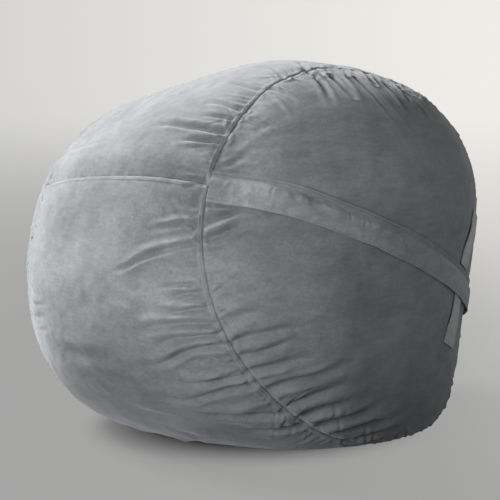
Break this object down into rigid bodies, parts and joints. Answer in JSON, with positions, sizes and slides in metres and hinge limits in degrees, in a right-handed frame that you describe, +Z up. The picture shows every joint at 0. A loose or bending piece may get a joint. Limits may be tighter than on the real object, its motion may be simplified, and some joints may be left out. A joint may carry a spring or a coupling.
{
  "type": "bean bag chair",
  "caption": "Large foam-filled bean bag chair: soft drum lying on its band, round side panels, flap over a curved zip, grab handles.",
  "frame": {"origin": "on the floor under the middle of the bounding box", "axes": "+X along the drum's axis towards the side panel with the zip, -Y towards the front of the band, +Z up"},
  "size_m": [0.9487, 0.9302, 0.7954],
  "materials": {
    "cover_velvet": "short-pile velvet, matte with a soft sheen",
    "handle_velvet": "short-pile velvet strap, matte",
    "zip_tape": "woven tape",
    "zip_teeth": "moulded nylon",
    "zip_metal": "nickel-plated, slightly worn",
    "liner_cloth": "plain woven lining",
    "foam": "shredded polyurethane foam"
  },
  "bodies": {
    "bag": {"band_upper": "cover_velvet", "band_lower": "cover_velvet", "side_panel_left": "cover_velvet", "side_panel_right_upper": "cover_velvet", "side_panel_right_lower": "cover_velvet", "flap_header": "cover_velvet", "flap_front": "cover_velvet", "flap_rear": "cover_velvet", "zip_tape_upper": "zip_tape", "zip_tape_lower": "zip_tape", "zip_teeth_upper": "zip_teeth", "zip_teeth_lower": "zip_teeth", "zip_stop_front": "zip_metal", "zip_stop_rear": "zip_metal", "handle_upper_tab_low": "handle_velvet", "handle_upper_tab_top": "handle_velvet", "handle_lower_tab_low": "handle_velvet", "handle_lower_tab_top": "handle_velvet", "liner_right": "liner_cloth", "liner_left": "liner_cloth", "foam_fill": "foam"},
    "flap": {"flap_middle": "cover_velvet"},
    "slider": {"zip_slider": "zip_metal"},
    "pull": {"zip_pull": "zip_metal"},
    "grip_upper": {"handle_upper_grip": "handle_velvet"},
    "grip_lower": {"handle_lower_grip": "handle_velvet"}
  },
  "joints": [
    {"name": "flap_lift", "type": "hinge", "parent": "bag", "child": "flap", "pos_m": [0.45911, 0.04864, 0.45254], "axis": [0.1194, -0.9172, 0.3801], "range_deg": [0, 70]},
    {"name": "zip_run", "type": "hinge", "parent": "bag", "child": "slider", "pos_m": [-0.21244, -0.07037, 0.37632], "axis": [-0.1361, 0.3641, 0.9214], "range_deg": [0, 40]},
    {"name": "pull_lift", "type": "hinge", "parent": "slider", "child": "pull", "pos_m": [0.45339, -0.16256, 0.51108], "axis": [0.1361, -0.3641, -0.9214], "range_deg": [0, 5]},
    {"name": "handle_upper_pull", "type": "slide", "parent": "bag", "child": "grip_upper", "axis": [0.8481, 0.4956, -0.1872], "range_m": [0, 0.022], "stiffness_N_per_m": 80},
    {"name": "handle_lower_pull", "type": "slide", "parent": "bag", "child": "grip_lower", "axis": [0.8763, 0.478, -0.0611], "range_m": [0, 0.022], "stiffness_N_per_m": 80}
  ]
}
